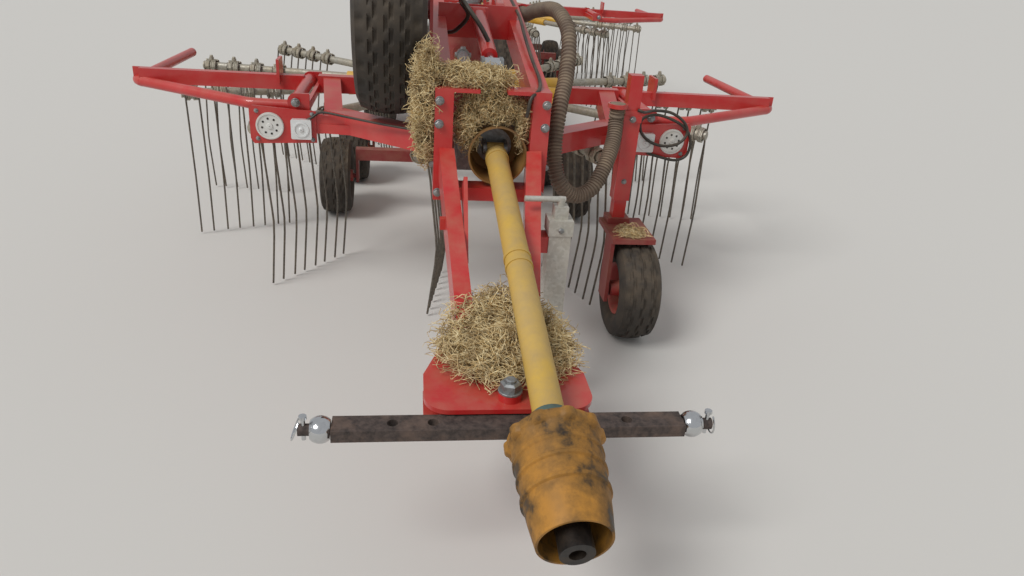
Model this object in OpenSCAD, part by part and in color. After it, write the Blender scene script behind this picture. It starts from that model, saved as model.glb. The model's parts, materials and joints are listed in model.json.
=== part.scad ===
// Twin rotor hay rake, parked with both rotors down on their wheels.
// The hitch faces -Y, +X is the machine's right seen from the hitch, +Z is up,
// and z = 0 is the ground.

/* [Hitch] */
// Length of the crossbar between its shoulders
crossbar_l = 825; // [700:5:950]
// Depth of the crossbar, front to back
crossbar_d = 60; // [50:1:80]
// Thickness of the crossbar
crossbar_t = 30; // [24:1:40]
// Height of the crossbar's middle above the ground
crossbar_z = 450; // [420:5:480]
// Distance of the crossbar's pivot behind its middle line
pivot_y = 70; // [60:1:90]
// Radius of the crossbar's pivot pin
pivot_r = 20; // [16:1:24]
// Radius of the lower link pins
link_pin_r = 14; // [11:0.5:18]
// Diameter of the lower link balls
link_ball_d = 64; // [56:1:70]
// Width of the lower link balls
link_ball_w = 45; // [40:1:50]
// Width of the headstock plates
headstock_w = 410; // [340:5:460]
// Length of the headstock plates
headstock_l = 310; // [280:5:360]
// Thickness of the headstock plates
headstock_t = 12; // [8:1:16]
// Running clearance above and below the crossbar
crossbar_gap = 5; // [5:0.5:8]
// How far the hitch lies to the left of the rails' middle
hitch_x = 25; // [0:5:40]

/* [Drive line] */
// Diameter of the guard tube
guard_tube_d = 75; // [60:1:90]
// Distance of the shaft's rear joint from the crossbar's middle line
pto_rear_y = 1120; // [1110:5:1130]
// Height of the shaft's rear joint
pto_rear_z = 800; // [780:5:820]
// Length of the shaft from its rear joint to its front guard's rim
pto_l = 1520; // [1450:10:1560]
// Radius of the front joint's splined bore
pto_bore_r = 17.5; // [15:0.5:22]
// Diameter of the open drive shafts
shaft_d = 52; // [40:1:60]
// Height of the open drive shafts
shaft_z = 880; // [870:5:900]

/* [Frame] */
// Distance of the arch from the crossbar's middle line
arch_y = 1050; // [1030:5:1070]
// Half the distance between the rails' middle lines
rail_x = 160; // [150:5:170]
// Width of the rails
rail_w = 60; // [50:1:70]
// Height of the rails' section
rail_h = 100; // [80:1:120]
// Height of the rails' middle at the arch
rail_front_z = 970; // [950:5:990]
// Height of the rails' middle over the rotors
rail_back_z = 1240; // [1200:5:1260]
// Distance of the rails' rear end from the crossbar's middle line
rail_end_y = 4700; // [4650:10:4800]

/* [Rotors] */
// Distance of the front rotor's axis from the crossbar's middle line
rotor_y = 2763; // [2740:1:2790]
// How far the rear rotor's axis lies to the right
rotor_shift = 650; // [550:10:700]
// How far the rear rotor's axis lies behind the front one
rotor_pitch = 3770; // [3720:10:3850]
// Number of tine arms of a rotor
arm_n = 12; // [10:1:12]
// Radius at the tine arms' ends
arm_r = 1420; // [1380:5:1440]
// Height of the tine arms
arm_z = 690; // [660:5:710]
// Diameter of the tine arms
arm_d = 42; // [36:1:46]
// Length of the sleeves that hold the arms, from the rotor's axis
sleeve_r = 620; // [560:10:680]
// Diameter of the sleeves
sleeve_d = 60; // [54:1:66]
// Number of double tines on an arm
tine_n = 4; // [3:1:4]
// Distance from one double tine to the next
tine_pitch = 125; // [110:1:130]
// Diameter of a tine's wire
tine_d = 9.5; // [8:0.5:11]
// Height of the tine tips above the ground
tip_z = 8; // [6:1:20]

/* [Wheels] */
// Diameter of the rotor wheels
wheel_d = 410; // [390:5:420]
// Width of the rotor wheels
wheel_w = 165; // [150:5:170]
// Diameter of the road tyres
road_d = 760; // [740:5:770]
// Width of the road tyres
road_w = 255; // [235:5:265]
// Distance of the road axle from the crossbar's middle line
road_y = 4645; // [4635:5:4655]
// Half the track of the road axle
road_x = 500; // [480:5:520]

/* [Guards] */
// Half the width over the guards
guard_x = 1400; // [1350:10:1420]
// Distance of the guards' fold pins from the middle
fold_x = 700; // [690:5:720]
// Height of the guards' fold pins
fold_z = 840; // [830:5:860]
// Diameter of the guards' tube
guard_d = 42; // [34:1:48]
// Distance of the guards' bar from the rotor's axis
guard_bar_y = 863; // [850:1:880]

/* [Jack] */
// Width of the jack's outer tube
jack_w = 70; // [64:1:80]
// Distance of the jack from the middle, to the right
jack_x = 200; // [190:5:215]
// Distance of the jack from the crossbar's middle line
jack_y = 750; // [730:5:770]

/* [Hidden] */
$fn = 32;

red = "#c01722";
dark_red = "#8e1820";
yellow = "#d9b13b";
ochre = "#9a6a2c";
zinc = "#a9adb0";
chrome = "#d8dadd";
rust = "#6d4a3c";
black = "#26221f";
tyre_black = "#34302d";
hose_brown = "#6c5748";

fit = 0.3;          // gap between pieces that are fitted together but not welded
run = 0.1;          // running gap of a pin in its bore
half_w = 0.5 * (guard_x + guard_d / 2 + rotor_shift + guard_x + guard_d / 2);
pto_x = 25;         // the shaft's rear joint, to the right of the middle
pto_side = 72;      // the shaft passes this far to the right of the crossbar's pivot
pto_over = 92;      // and this far above the crossbar's middle
pto_drop = atan2(pto_rear_z - crossbar_z - pto_over, pto_rear_y - pivot_y);
pto_turn = atan2(pto_side - hitch_x - pto_x, pto_rear_y - pivot_y);
pto_front = -(pto_l * cos(pto_drop) * cos(pto_turn)) + pto_rear_y;
front_y = pto_front - 22;
back_y = rotor_y + rotor_pitch + arm_r + 4;
mid_x = guard_x + guard_d / 2;
shift = [-(half_w - mid_x), -(front_y + back_y) / 2, 0];

// everything below is drawn from the crossbar's middle on the ground, and moved here
module place() { translate(shift) children(); }
function unit(v) = v / norm(v);
module mirrored(side) { if (side < 0) mirror([1, 0, 0]) children(); else children(); }

// a bar of section wide by high from one point to another
module bar(p, q, wide, high) {
    d = q - p;
    l = norm(d);
    translate(p) rotate([0, acos(d[2] / l), atan2(d[1], d[0])])
        translate([-high / 2, -wide / 2, 0]) cube([high, wide, l]);
}
// a rod of radius r from one point to another
module rod(p, q, r) {
    d = q - p;
    l = norm(d);
    translate(p) rotate([0, acos(d[2] / l), atan2(d[1], d[0])]) cylinder(r = r, h = l);
}
// a level round tube through points [x, y] at height z, each corner an arc of radius bend;
// the bends are pressed a little fuller than the straight tube, which laps into them
lap = 5;
function trim(points, i, bend) = (i == 0 || i == len(points) - 1) ? 0
    : let (d1 = unit(points[i] - points[i - 1]), d2 = unit(points[i + 1] - points[i])) bend * tan(acos(d1 * d2) / 2);
module bent_tube(points, z, r, bend) {
    for (i = [0 : len(points) - 2]) {
        d = unit(points[i + 1] - points[i]);
        p = points[i] + d * (trim(points, i, bend) - (i > 0 ? lap : 0));
        q = points[i + 1] - d * (trim(points, i + 1, bend) - (i < len(points) - 2 ? lap : 0));
        rod([p[0], p[1], z], [q[0], q[1], z], r);
    }
    for (i = [1 : len(points) - 2]) {
        d1 = unit(points[i] - points[i - 1]);
        d2 = unit(points[i + 1] - points[i]);
        left = d1[0] * d2[1] - d1[1] * d2[0] > 0 ? 1 : -1;
        a = points[i] - d1 * trim(points, i, bend);
        centre = a + left * bend * [-d1[1], d1[0]];
        b = points[i] + d2 * trim(points, i, bend);
        first = (left > 0 ? a : b) - centre;
        translate([centre[0], centre[1], z]) rotate([0, 0, atan2(first[1], first[0])])
            rotate_extrude(angle = acos(d1 * d2)) translate([bend, 0]) circle(r = r + 0.4);
    }
}
module along_x(x0, x1, y, z, r) { translate([x0, y, z]) rotate([0, 90, 0]) cylinder(r = r, h = x1 - x0); }
module along_y(x, y0, y1, z, r) { translate([x, y0, z]) rotate([-90, 0, 0]) cylinder(r = r, h = y1 - y0); }
module block(x0, x1, y0, y1, z0, z1) { translate([x0, y0, z0]) cube([x1 - x0, y1 - y0, z1 - z0]); }
// a plate of the given outline in the X-Z plane, from y0 to y1
module plate_xz(points, y0, y1) { translate([0, y1, 0]) rotate([90, 0, 0]) linear_extrude(y1 - y0) polygon(points); }
// a plate of the given outline in the Y-Z plane, from x0 to x1
module plate_yz(points, x0, x1) {
    translate([x0, 0, 0]) rotate([90, 0, 90]) linear_extrude(x1 - x0) polygon(points);
}

// Hitch
bar_z0 = crossbar_z - crossbar_t / 2;
bar_z1 = crossbar_z + crossbar_t / 2;
boss_r = 46;
crossbar_holes = [-276, -184, 274]; // x of the vertical holes, as on the real bar
link_l = 74;
module at_hitch() { place() translate([-hitch_x, 0, 0]) children(); }
module crossbar() {
    color(rust) at_hitch() difference() {
        union() {
            block(-crossbar_l / 2, crossbar_l / 2, -crossbar_d / 2, crossbar_d / 2, bar_z0, bar_z1);
            translate([0, pivot_y, bar_z0]) cylinder(r = boss_r, h = crossbar_t);
            block(-boss_r, boss_r, 0, pivot_y, bar_z0, bar_z1);
            for (s = [-1, 1])
                translate([s * crossbar_l / 2, 0, crossbar_z]) rotate([0, s * 90, 0]) cylinder(r = link_pin_r, h = link_l);
        }
        translate([0, pivot_y, bar_z0 - 1]) cylinder(r = pivot_r + run, h = crossbar_t + 2);
        for (x = crossbar_holes) translate([x, 0, bar_z0 - 1]) cylinder(r = 13, h = crossbar_t + 2);
        for (s = [-1, 1]) translate([s * (crossbar_l / 2 + link_l - 12), 0, crossbar_z - 20]) cylinder(r = 5.5, h = 40);
    }
}
module link_balls() {
    color(chrome) at_hitch() for (s = [-1, 1]) {
        translate([s * (crossbar_l / 2 + 2 + link_ball_w / 2), 0, crossbar_z]) rotate([0, 90, 0]) difference() {
            intersection() {
                sphere(d = link_ball_d);
                cylinder(r = link_ball_d, h = link_ball_w, center = true);
            }
            cylinder(r = link_pin_r + fit, h = link_ball_w + 2, center = true);
        }
        translate([s * (crossbar_l / 2 + link_l - 12), 0, crossbar_z - 26]) {
            cylinder(r = 5.2, h = 56);
            translate([0, 0, 56]) cylinder(r = 9, h = 8);
        }
    }
}

top_z0 = bar_z1 + crossbar_gap;
top_z1 = top_z0 + headstock_t;
low_z1 = bar_z0 - crossbar_gap;
low_z0 = low_z1 - headstock_t;
corner_r = 60;
headstock_y0 = 22;
headstock_y1 = headstock_y0 + headstock_l;
nut_h = 20;
module headstock_outline() {
    for (s = [-1, 1]) translate([s * (headstock_w / 2 - corner_r), headstock_y0 + corner_r]) circle(r = corner_r);
    translate([-headstock_w / 2 + corner_r, headstock_y0]) square([headstock_w - 2 * corner_r, corner_r]);
    polygon([
        [-headstock_w / 2, headstock_y0 + corner_r], [headstock_w / 2, headstock_y0 + corner_r],
        [headstock_w / 2, headstock_y0 + 0.5 * headstock_l], [150, headstock_y1],
        [-150, headstock_y1], [-headstock_w / 2, headstock_y0 + 0.5 * headstock_l],
    ]);
}
module headstock() {
    color(red) at_hitch() {
        for (z = [top_z0, low_z0]) translate([0, 0, z]) linear_extrude(headstock_t) headstock_outline();
        block(-140, 140, 185, headstock_y1, low_z1, top_z0);
        translate([0, pivot_y, low_z0 - 14]) cylinder(r = pivot_r, h = top_z1 + nut_h - low_z0 + 14);
        translate([0, pivot_y, top_z1]) cylinder(r = 29, h = nut_h);
        translate([0, pivot_y, low_z0 - 14]) cylinder(r = 29, h = 14);
    }
}

// Drawbar members, each a box tube from the headstock up to the arch
member_w = 50;
member_h = 90;
member_foot = [85, headstock_y1 - 20, crossbar_z];
member_head = [rail_x - 10, arch_y, 795];
arch_d = 80;
arch_y0 = arch_y - arch_d / 2;
arch_y1 = arch_y + arch_d / 2;
module member(side) {
    foot = [side * member_foot[0] - hitch_x, member_foot[1], member_foot[2]];
    intersection() {
        bar(foot, [side * member_head[0], member_head[1], member_head[2]], member_w, member_h);
        block(-400, 400, headstock_y1 + fit, arch_y0 - fit, 0, 1000);
    }
}
module drawbar_left() {
    color(red) place() {
        member(-1);
        plate_yz([[610, 590], [880, 725], [790, 800]], -rail_x + 56, -rail_x + 68);
        block(-rail_x - 15, -rail_x + 25, 735, 760, 645, 680);
    }
}
module drawbar_right() {
    color(red) place() {
        member(1);
        block(rail_x - 40, jack_x - jack_w / 2 - fit, jack_y - 30, jack_y + 30, 580, 634);
    }
}

// The arch that the drawbar, the rails and the front gearbox meet at
module arch() {
    color(red) place() {
        for (s = [-1, 1]) mirrored(s) {
            block(rail_x - rail_w / 2, rail_x + rail_w / 2, arch_y0, arch_y1, 645, rail_front_z + 50);
            block(rail_x - 115, rail_x + rail_w / 2, arch_y0, arch_y1, rail_front_z + 38, rail_front_z + 50);
        }
        block(-rail_x - rail_w / 2, rail_x + rail_w / 2, arch_y1 - 14, arch_y1, rail_front_z - 40, rail_front_z + 50);
        block(-rail_x - rail_w / 2, rail_x + rail_w / 2, arch_y0, arch_y1, 645, 690);
    }
}

// The PTO shaft, drawn along -Y from its rear joint and then laid in place
module lay_shaft() {
    place() translate([pto_x, pto_rear_y, pto_rear_z]) rotate([pto_drop, 0, pto_turn]) rotate([90, 0, 0]) children();
}
cone_front = 255;                // length of the front guard cone
tube_front = pto_l - cone_front; // where the guard tube meets it
joint_r = 10;                    // the rear joint's pin
module pto_guard() {
    color(yellow) lay_shaft() difference() {
        union() {
            translate([0, 0, 45]) cylinder(d = guard_tube_d, h = tube_front - 45);
            cylinder(r = 20, h = 46);
            rotate([0, 90, 0]) cylinder(r = 21, h = 56, center = true);
        }
        rotate([0, 90, 0]) cylinder(r = joint_r + run, h = 60, center = true);
    }
}
module pto_front_cone() {
    color(ochre) lay_shaft() translate([0, 0, tube_front + fit]) rotate_extrude() polygon([[30 + fit, 0], [112, 0], [112, 26],
        [104, 30], [100, 60], [104, 66], [94, 150], [98, 156], [80, cone_front - fit], [72, cone_front - fit],
        [86, 156], [96, 30], [30 + fit, 12]]);
}
module pto_yoke() {
    color(black) lay_shaft() translate([0, 0, tube_front + fit]) difference() {
        union() {
            cylinder(r = 30, h = 130);
            translate([0, 0, 115]) cylinder(r = 46, h = 60);
            translate([0, 0, 175]) cylinder(r = 36, h = 105);
        }
        translate([0, 0, 200]) cylinder(r = pto_bore_r, h = 81);
    }
}
gearbox_y0 = pto_rear_y + 45;
gearbox_y1 = 1325;
cone_l = 140;
module pto_rear_cone() {
    color(ochre) place() translate([pto_x, gearbox_y0 - fit, pto_rear_z]) rotate([90, 0, 0])
        rotate_extrude() polygon([[62, 0], [90, 0], [90, 20], [100, cone_l], [94, cone_l], [84, 20], [62, 8]]);
}
module front_gearbox() {
    color(zinc) place() {
        block(-105, 125, gearbox_y0, gearbox_y1, 705, 905);
        for (x = [-42, 30]) {
            block(pto_x + x, pto_x + x + 12, pto_rear_y, gearbox_y0, pto_rear_z - 22, pto_rear_z + 22);
            along_x(pto_x + x, pto_x + x + 12, pto_rear_y, pto_rear_z, 22);
        }
        translate([pto_x, pto_rear_y, pto_rear_z]) rotate([0, 0, pto_turn]) along_x(-36, 36, 0, 0, joint_r);
        block(-rail_x + 30 + fit, rail_x - 30 - fit, gearbox_y0 + 20, gearbox_y1 - 25, 905, 930);
        along_y(0, gearbox_y1, gearbox_y1 + 15, shaft_z, 40);
    }
}

// The two rails from the arch over the front rotor to the road axle
rail_rise_y = 2500;
module frame_rails() {
    color(red) place() {
        for (s = [-1, 1]) mirrored(s) {
            rotate([90, 0, 90]) translate([0, 0, rail_x - rail_w / 2]) linear_extrude(rail_w) polygon([
                [arch_y1 + fit, rail_front_z - rail_h / 2], [rail_rise_y, rail_back_z - rail_h / 2],
                [rail_end_y, rail_back_z - rail_h / 2], [rail_end_y, rail_back_z + rail_h / 2],
                [rail_rise_y, rail_back_z + rail_h / 2], [arch_y1 + fit, rail_front_z + rail_h / 2],
            ]);
        }
        for (y = [2330, 3300]) block(-rail_x, rail_x, y, y + 60, rail_back_z - 45, rail_back_z + 35);
        for (s = [-1, 1]) mirrored(s) // portal legs down to the front rotor's gearbox
            block(rail_x - 15, rail_x, rotor_y - 70, rotor_y + 70, 850, rail_back_z);
        block(-rail_x, rail_x, rotor_y - 70, rotor_y + 70, 970 + fit, 985);
        block(-rail_x, rail_x, cyl_b[1] + 65, cyl_b[1] + 80, cyl_b[2] - 90, cyl_b[2] + 40); // carries the cylinder's rear eye
        for (s = [-1, 1]) mirrored(s) block(eye_w + fit, eye_w + fit + 12, eye_y - 24, cyl_b[1] + 66, eye_z - 30, eye_z + 30);
        along_x(-eye_w - 10, eye_w + 10, eye_y, eye_z, eye_pin_r);
        difference() { // clip that holds the hoses' sleeve to the right rail
            along_y(hose_x, 2078, 2096, hose_z, hose_r + 8);
            along_y(hose_x, 2077, 2097, hose_z, hose_r + 1);
            block(-rail_x, rail_x + rail_w / 2 - 1, 2077, 2097, hose_z - 50, hose_z + 50);
        }
    }
}
hinge_y = rail_end_y + 100;
hinge_r = 25;
module rear_frame() {
    color(red) place() {
        block(-rail_x + 30 + fit, rail_x - 30 - fit, rail_end_y - 200, rail_end_y, rail_back_z - 50, rail_back_z + 50);
        for (z = [rail_back_z + 62, rail_back_z - 80]) {
            block(-70, 70, rail_end_y - 60, hinge_y, z, z + 18);
            translate([0, hinge_y, z]) cylinder(r = 70, h = 18);
        }
        block(-60, 60, rail_end_y - 60, rail_end_y, rail_back_z - 80, rail_back_z + 80);
        translate([0, hinge_y, rail_back_z - 95]) cylinder(r = hinge_r, h = 190);
    }
}
// Open drive shafts: front gearbox to the front rotor, and on to the hinge
shaft_r = shaft_d / 2;
module universal(x, y, z) {
    translate([x, y, z]) {
        for (a = [0, 90]) rotate([0, a, 0]) cylinder(r = 14, h = 84, center = true);
        rotate([90, 0, 0]) cylinder(r = 34, h = 40, center = true);
    }
}
module drive_shafts() {
    color(zinc) place() {
        along_y(0, gearbox_y1 + 15 + fit, rotor_y - 118 - fit, shaft_z, shaft_r);
        for (y = [gearbox_y1 + 70, rotor_y - 175]) universal(0, y, shaft_z);
        along_y(0, rotor_y + 118 + fit, hinge_y - 60, shaft_z, shaft_r);
        for (y = [rotor_y + 175, hinge_y - 100]) universal(0, y, shaft_z);
    }
}

// The lift cylinder between the rails
cyl_a = [0, 1140, 1078];
cyl_b = [0, 1720, 1165];
eye_y = cyl_b[1] + 30;
eye_z = cyl_b[2] + 4;
eye_w = 25;
eye_pin_r = 12;
module lift_cylinder() {
    color(red) place() {
        rod(cyl_a + (cyl_b - cyl_a) * 0.16, cyl_b, 28);
        difference() {
            along_x(-eye_w, eye_w, eye_y, eye_z, 32);
            along_x(-eye_w - 1, eye_w + 1, eye_y, eye_z, eye_pin_r + run);
        }
    }
}
module lift_rod() {
    color(chrome) place() {
        rod(cyl_a + [0, 16, 2.4], cyl_a + (cyl_b - cyl_a) * 0.16 - [0, fit, 0], 14);
        difference() {
            along_x(-eye_w, eye_w, cyl_a[1], cyl_a[2], 24);
            along_x(-eye_w - 1, eye_w + 1, cyl_a[1], cyl_a[2], eye_pin_r + run);
        }
    }
}
module lift_lever() {
    color(zinc) place() {
        for (s = [-1, 1]) mirrored(s) plate_yz([[arch_y1 + fit, 1006], [arch_y1 + 60, 1006], [cyl_a[1] + 24, cyl_a[2] + 24],
            [cyl_a[1] - 24, cyl_a[2] + 24]], eye_w + fit, eye_w + fit + 12);
        block(-eye_w - 6, eye_w + 6, arch_y1 + fit, arch_y1 + 12, 1006, 1040);
        along_x(-eye_w - 6, eye_w + 6, cyl_a[1], cyl_a[2], eye_pin_r);
    }
}

// the height of the rails' underside where they rise
function rail_low(y) = rail_front_z - rail_h / 2 + (rail_back_z - rail_front_z) * (y - arch_y1 - fit) / (rail_rise_y - arch_y1 - fit);
// Outriggers: a box beam each side, with the bar and pin that carry the folding guard
out_a = [rail_x - 5, 1235, 778];
out_b = [575, 1590, 768];
pin_y0 = 1525;
pin_y1 = 1985;
fixed_bar_y = rotor_y - guard_bar_y;
fold_r = 12;
module outrigger(side) {
    color(red) place() mirrored(side) {
        bar(out_a, out_b, 80, 76);
        plate_yz([[1190, 745], [1300, 745], [1300, rail_low(1300) - fit], [1190, rail_low(1190) - fit]],
            rail_x - rail_w / 2, rail_x + rail_w / 2);
        bar(out_b - [10, 20, 0], [600, fixed_bar_y, fold_z - 5], 70, 76);
        block(600, 655, lamp_y + 3 + fit, lamp_y + 16, 725, 800);
        bar([620, lamp_y + 10, 775], [400, 1470, 772], 10, 46);
        bar([620, lamp_y + 10, 745], [330, 1420, 760], 10, 36);
        block(410, 655, fixed_bar_y - 25, fixed_bar_y + 25, fold_z - 35, fold_z + 35);
        for (y = [pin_y0, pin_y1 - 14]) {
            block(fold_x - 50, fold_x, y, y + 14, fold_z - 32, fold_z + 32);
            along_y(fold_x, y, y + 14, fold_z, 32);
        }
        block(fold_x - 50, fold_x - 36, pin_y0, pin_y1, fold_z - 32, fold_z + 2);
        along_y(fold_x, pin_y0 - 12, pin_y1 + 12, fold_z, fold_r);
    }
}
module outrigger_left() { outrigger(-1); }
module outrigger_right() {
    outrigger(1);
    color(red) place() block(post_x - 28, post_x + 28, post_y + 32 + fit, out_b[1], 745, 800);
}

lamp_y = 1505;
module lamp_plates() {
    color(red) place() for (s = [-1, 1]) mirrored(s) {
        plate_xz([[625, 690], [860, 680], [872, 700], [872, 815], [860, 826], [625, 812]], lamp_y - 3, lamp_y + 3);
    }
}
module lamps() {
    color("white") place() for (s = [-1, 1]) mirrored(s) translate([680, lamp_y - 3 - fit, 745]) rotate([90, 0, 0])
        linear_extrude(22) polygon([[-34, -38], [34, -38], [38, -34], [38, 34], [34, 38], [-34, 38], [-38, 34], [-38, -34]]);
}
module discs() {
    color("white") place() for (s = [-1, 1]) mirrored(s) translate([798, lamp_y - 3 - fit, 750]) rotate([90, 0, 0])
        cylinder(r = 52, h = 5);
}

// Feeler wheel ahead of the front rotor, on its post
post_x = 575;
post_y = 1385;
post_top = 1030;
fork_z = wheel_d + 12; // underside of the plate over the feeler wheel
feeler_x = 625;
feeler_y = 1240;
module feeler_post() {
    color(red) place() {
        block(post_x - 25, post_x + 25, post_y - 25, post_y + 25, fork_z + 44, post_top);
        block(post_x - 32, post_x + 32, post_y - 32, post_y + 32, 540, 900);
        block(post_x - 35, post_x + 35, post_y - 35, post_y + 35, 855, 880);
        difference() { // clip for the hoses' sleeve
            translate([hose_end[0], hose_end[1], hose_end[2] - 18]) cylinder(r = hose_r + 8, h = 16);
            translate([hose_end[0], hose_end[1], hose_end[2] - 19]) cylinder(r = hose_r + 1, h = 18);
        }
    }
}
axle_r = 12.5;
module feeler_fork() {
    color(dark_red) place() {
        block(post_x - 45, post_x + 45, post_y - 38, post_y + 38, fork_z + 20, fork_z + 44 - fit);
        block(feeler_x - 112, feeler_x + 60, 1180, post_y + 38, fork_z, fork_z + 20);
        block(feeler_x - 112, feeler_x - 98, 1195, 1290, wheel_d / 2 - 40, fork_z + 20);
        along_x(feeler_x - 112, feeler_x + wheel_w / 2 + 14, feeler_y, wheel_d / 2, axle_r);
        along_x(feeler_x - 98, feeler_x - wheel_w / 2 - 6, feeler_y, wheel_d / 2, 26);
    }
}
// a small wheel: tyre and pressed rim in one, standing at x, y with its axle along X
module small_wheel(x, y) {
    r = wheel_d / 2;
    w = wheel_w / 2;
    place() translate([x, y, r]) rotate([0, 90, 0]) {
        color(tyre_black) rotate_extrude() polygon([[105, -w + 25], [130, -w + 6], [r - 45, -w], [r - 12, -w + 14],
            [r, -w + 40], [r, w - 40], [r - 12, w - 14], [r - 45, w], [130, w - 6], [105, w - 25]]);
        color(red) rotate_extrude() polygon([[axle_r + run, -w - 2], [32, -w - 2], [32, -14], [80, -14], [98, -w + 20], [106, -w + 20],
            [106, w - 20], [98, w - 20], [88, 0], [32, 0], [32, w + 2], [axle_r + run, w + 2]]);
    }
}
module feeler_wheel() { small_wheel(feeler_x, feeler_y); }

// Jack on the right drawbar member
jack_z0 = 290;
jack_z1 = 640;
jack_in = jack_w / 2 - 5; // half the outer tube's inner width
leg_top = 410;
module jack_body() {
    color(zinc) place() {
        difference() {
            block(jack_x - jack_w / 2, jack_x + jack_w / 2, jack_y - jack_w / 2, jack_y + jack_w / 2, jack_z0, jack_z1);
            block(jack_x - jack_in, jack_x + jack_in, jack_y - jack_in, jack_y + jack_in, jack_z0 - 1, jack_z1 + 1);
        }
        block(jack_x - jack_w / 2 - 4, jack_x + jack_w / 2 + 4, jack_y - jack_w / 2 - 4, jack_y + jack_w / 2 + 4, jack_z1, jack_z1 + 50);
        block(jack_x - 22, jack_x + 22, jack_y - 22, jack_y + 22, jack_z1 + 50, jack_z1 + 90);
    }
}
module jack_crank() {
    color(zinc) place() {
        translate([jack_x, jack_y, jack_z1 + 90 + fit]) cylinder(r = 12, h = 26);
        rod([jack_x + 12, jack_y, jack_z1 + 110], [jack_x - 117, jack_y - 8, jack_z1 + 112], 9);
    }
}
module jack_leg() {
    w = jack_in - 0.5;
    color(zinc) place() {
        block(jack_x - w, jack_x + w, jack_y - w, jack_y + w, 8, leg_top);
        block(jack_x - 85, jack_x + 85, jack_y - 85, jack_y + 85, 0, 8);
    }
}

// Corrugated sleeve that takes the hoses from the frame to the post
hose_r = 30;
hose_x = rail_x + rail_w / 2 + hose_r + 4; // the sleeve's start, along the right rail
hose_z = 1155;
hose_end = [508, 1345, 930];
hose_route = [[hose_x, 2100, hose_z], [hose_x, 2050, hose_z], [hose_x, 1990, hose_z], [250, 1850, 1190], [300, 1680, 1210], [322, 1500, 1150],
    [300, 1350, 1030], [262, 1230, 930], [243, 1160, 800], [262, 1130, 690], [325, 1135, 632], [398, 1165, 650],
    [455, 1220, 730], [495, 1300, 800], [508, 1345, 860], [508, 1345, 890], hose_end];
function ring(p, d, r, n) = let (u = unit(cross(d, [0, 0.3, 1])), v = cross(unit(d), u))
    [for (k = [0 : n - 1]) p + r * (cos(360 * k / n) * u + sin(360 * k / n) * v)];
// a smooth curve through the route's points
function spline(a, b, c, d, t) = 0.5 * ((2 * b) + (c - a) * t + (2 * a - 5 * b + 4 * c - d) * t * t + (3 * b - a - 3 * c + d) * t * t * t);
function smooth(p, m) = let (e = concat([2 * p[0] - p[1]], p, [2 * p[len(p) - 1] - p[len(p) - 2]]))
    concat([for (i = [1 : len(e) - 3], j = [0 : m - 1]) spline(e[i - 1], e[i], e[i + 1], e[i + 2], j / m)], [p[len(p) - 1]]);
module hose_tube(route, r, n) {
    path = smooth(route, 2);
    last = len(path) - 1;
    rings = [for (i = [0 : last]) ring(path[i], path[min(i + 1, last)] - path[max(i - 1, 0)], r, n)];
    polyhedron(points = [for (q = rings) each q],
        faces = concat([[for (k = [0 : n - 1]) k]],
            [for (i = [0 : last - 1], k = [0 : n - 1]) [i * n + k, (i + 1) * n + k, (i + 1) * n + (k + 1) % n, i * n + (k + 1) % n]],
            [[for (k = [n - 1 : -1 : 0]) last * n + k]]));
}
module corrugated_hose() { color(hose_brown) place() hose_tube(hose_route, hose_r, 10); }

// Road wheels, 10 inch wide implement tyres on 15 inch rims
raised_x = -340;
raised_y = 1500;
raised_z = 1205;
rim_r = 195;
hub_r = 35;
module road_tyre(x, y, z) {
    r = road_d / 2;
    w = road_w / 2;
    color(tyre_black) place() translate([x, y, z]) rotate([0, 90, 0]) rotate_extrude() polygon([[rim_r + fit, -w + 40],
        [rim_r + 30, -w + 8], [r - 80, -w], [r - 28, -w + 12], [r, -w + 55], [r, w - 55], [r - 28, w - 12], [r - 80, w],
        [rim_r + 30, w - 8], [rim_r + fit, w - 40]]);
}
module road_rim(x, y, z) {
    w = road_w / 2;
    color(zinc) place() translate([x, y, z]) rotate([0, 90, 0]) rotate_extrude() polygon([[hub_r + run, -45], [70, -45], [78, -18],
        [150, -10], [182, -w + 40], [rim_r, -w + 40], [rim_r, w - 40], [182, w - 40], [160, 4], [78, -4], [70, 30], [hub_r + run, 30]]);
}
module raised_tyre() { road_tyre(raised_x, raised_y, raised_z); }
module raised_rim() { road_rim(raised_x, raised_y, raised_z); }
module wheel_bracket() {
    color(red) place() {
        along_x(raised_x - 50, -rail_x - rail_w / 2 - 6, raised_y, raised_z, hub_r);
        plate_yz([[1370, 1000], [1640, 1045], [1545, raised_z + 45], [1455, raised_z + 45]],
            -rail_x - rail_w / 2 - fit - 12, -rail_x - rail_w / 2 - fit);
    }
}
module road_axle() {
    color(red) place() {
        block(-road_x + 110, road_x - 110, road_y - 45, road_y + 45, road_d / 2 - 45, road_d / 2 + 45);
        for (s = [-1, 1]) mirrored(s) {
            along_x(road_x - 110, road_x + 50, road_y, road_d / 2, hub_r);
            block(rail_x - 60, rail_x - 45, road_y - 70, road_y + 45, road_d / 2 + 45, rail_back_z - 50 - fit);
        }
        block(-rail_x + 45, rail_x - 45, road_y - 70, road_y + 45, 560, 600);
    }
}
module road_tyre_left() { road_tyre(-road_x, road_y, road_d / 2); }
module road_tyre_right() { road_tyre(road_x, road_y, road_d / 2); }
module road_rim_left() { road_rim(-road_x, road_y, road_d / 2); }
module road_rim_right() { road_rim(road_x, road_y, road_d / 2); }

// A rotor: fixed column and undercarriage, turning hub with sleeves, tine arms, four wheels
rotor_at = [[0, rotor_y], [rotor_shift, rotor_y + rotor_pitch]]; // x, y of each rotor's axis
rotor_turn = [-9.6, 5.4]; // how far each rotor has turned from an arm straight ahead
column_r = 70;
hub_z0 = 600;
hub_z1 = 800;
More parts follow.
